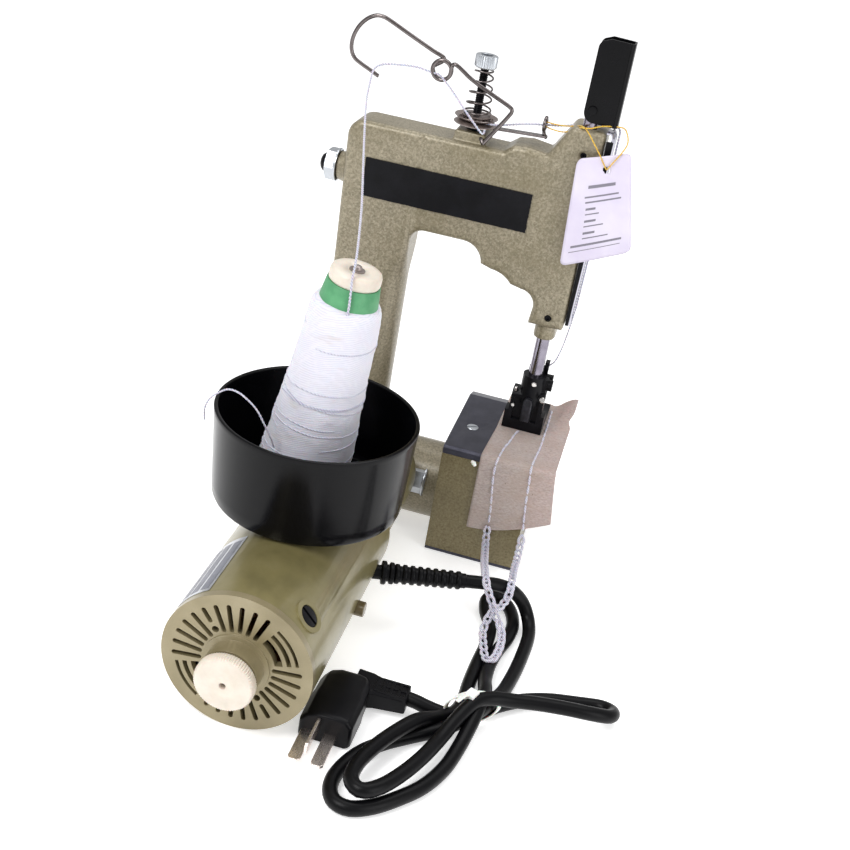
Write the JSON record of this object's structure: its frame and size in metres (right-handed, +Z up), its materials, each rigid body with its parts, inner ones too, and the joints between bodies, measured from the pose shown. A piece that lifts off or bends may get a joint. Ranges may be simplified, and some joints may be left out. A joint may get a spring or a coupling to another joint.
{
  "type": "bag closer sewing machine",
  "caption": "Portable bag closing machine: motor under a C-shaped arm, needle and presser foot over a looper block, thread cone in a cup, and a coiled mains cable with plug.",
  "frame": {"origin": "on the floor under the needle, in the plane of the base of the looper block", "axes": "+X along the arm from the column to the head, +Y from the motor's knob end to the back, +Z up"},
  "size_m": [0.239, 0.318, 0.306],
  "materials": {
    "grey_paint": "hammered grey paint",
    "olive_paint": "hammered olive paint",
    "plate_steel": "dark blue-black satin",
    "bright_steel": "bright",
    "worn_steel": "dull, stained",
    "chrome": "polished",
    "black_steel": "black gloss",
    "edging": "black",
    "bronze": "plain",
    "pulleys": "turned",
    "nylon": "natural nylon",
    "cream_plastic": "cream",
    "windings": "laminations and enamelled wire",
    "carbon": "carbon",
    "black_plastic": "black",
    "cable": "black flexible sheath",
    "pins": "nickel plated",
    "thread_white": "twisted white thread",
    "green_paper": "green paper tube, satin",
    "paper": "crepe paper",
    "tag": "card, pale lilac"
  },
  "bodies": {
    "machine": {"frame_casting": "grey_paint", "back_cover": "grey_paint", "gear_case": "olive_paint", "lower_arm_tube": "grey_paint", "looper_block": "olive_paint", "bottom_cover": "plate_steel", "needle_plate": "plate_steel", "fixing_screws": "bright_steel", "hex_bolts": "bright_steel", "shaft_bushes": "bronze", "timing_belt": "edging", "presser_spring": "worn_steel", "face_cover": "chrome", "cover_edging": "edging", "motor_shell": "olive_paint", "motor_end_cap": "olive_paint", "motor_stator": "windings", "ball_bearings": "bright_steel", "carbon_brushes": "carbon", "brush_caps": "black_plastic", "strain_relief": "cable", "cable_lead": "cable", "cable_hank": "cable", "plug_body": "black_plastic", "plug_pins": "pins", "thread_cup": "black_plastic", "cone_spindle": "worn_steel", "thread_cone": "thread_white", "cone_cap": "cream_plastic", "wire_guide": "worn_steel", "tension_stud": "worn_steel", "tension_spring": "worn_steel", "tension_discs": "worn_steel", "eyelet_bracket": "worn_steel", "name_plate": "black_steel", "paper_strip": "paper", "hang_tag": "tag", "sewing_thread": "thread_white"},
    "motor": {"motor_shaft": "bright_steel", "motor_worm": "bright_steel", "motor_rotor": "windings", "hand_knob": "cream_plastic"},
    "lower_train": {"lower_shaft": "bright_steel", "worm_wheel": "nylon", "lower_pulley": "pulleys"},
    "upper_train": {"upper_shaft": "bright_steel", "upper_pulley": "pulleys", "crank_disc": "bright_steel"},
    "needle_body": {"needle_bar": "bright_steel", "needle_clamp": "black_steel", "needle": "bright_steel"},
    "rod_body": {"connecting_rod": "bright_steel"},
    "presser_body": {"presser_bar": "bright_steel", "presser_foot": "black_steel", "foot_screw": "bright_steel"},
    "lever_body": {"lifter_lever": "black_steel"},
    "feed_body": {"feed_dog": "worn_steel"},
    "looper_body": {"looper": "worn_steel"},
    "button_body": {"switch_button": "olive_paint"},
    "nut_body": {"tension_nut": "worn_steel"}
  },
  "joints": [
    {"name": "motor_spin", "type": "hinge", "parent": "machine", "child": "motor", "pos_m": [-0.0885, 0, 0.0375], "axis": [0, 1, 0], "continuous": true},
    {"name": "lower_spin", "type": "hinge", "parent": "machine", "child": "lower_train", "pos_m": [-0.0885, -0.005, 0.024], "axis": [1, 0, 0], "continuous": true},
    {"name": "upper_spin", "type": "hinge", "parent": "machine", "child": "upper_train", "pos_m": [-0.0885, -0.005, 0.2045], "axis": [1, 0, 0], "continuous": true},
    {"name": "needle_slide", "type": "slide", "parent": "machine", "child": "needle_body", "axis": [0, 0, 1], "range_m": [0, 0.015]},
    {"name": "rod_swing", "type": "hinge", "parent": "needle_body", "child": "rod_body", "pos_m": [-0.018, 0, 0.175], "axis": [1, 0, 0], "range_deg": [-8, 8]},
    {"name": "lifter_lever_turn", "type": "hinge", "parent": "presser_body", "child": "lever_body", "pos_m": [0, -0.01, 0.268], "axis": [0, 1, 0], "range_deg": [0, 45]},
    {"name": "presser_lift", "type": "slide", "parent": "machine", "child": "presser_body", "axis": [0, 0, 1], "range_m": [0, 0.009], "deforming": ["presser_spring"]},
    {"name": "feed_slide", "type": "slide", "parent": "machine", "child": "feed_body", "axis": [0, 1, 0], "range_m": [-0.002, 0.002]},
    {"name": "looper_swing", "type": "hinge", "parent": "machine", "child": "looper_body", "pos_m": [0, 0.02, 0.042], "axis": [1, 0, 0], "range_deg": [-4, 6]},
    {"name": "switch_press", "type": "slide", "parent": "machine", "child": "button_body", "axis": [-1, 0, 0], "range_m": [0, 0.0015], "stiffness_N_per_m": 800},
    {"name": "tension_adjust", "type": "slide", "parent": "machine", "child": "nut_body", "axis": [0, 0, 1], "range_m": [-0.003, 0.001], "deforming": ["tension_spring"]}
  ],
  "couplings": [
    {"joint": "lower_spin", "follows": "motor_spin", "ratio": 0.125},
    {"joint": "upper_spin", "follows": "motor_spin", "ratio": 0.125},
    {"joint": "lifter_lever_turn", "follows": "presser_lift", "rad_per_m": 87.2}
  ]
}
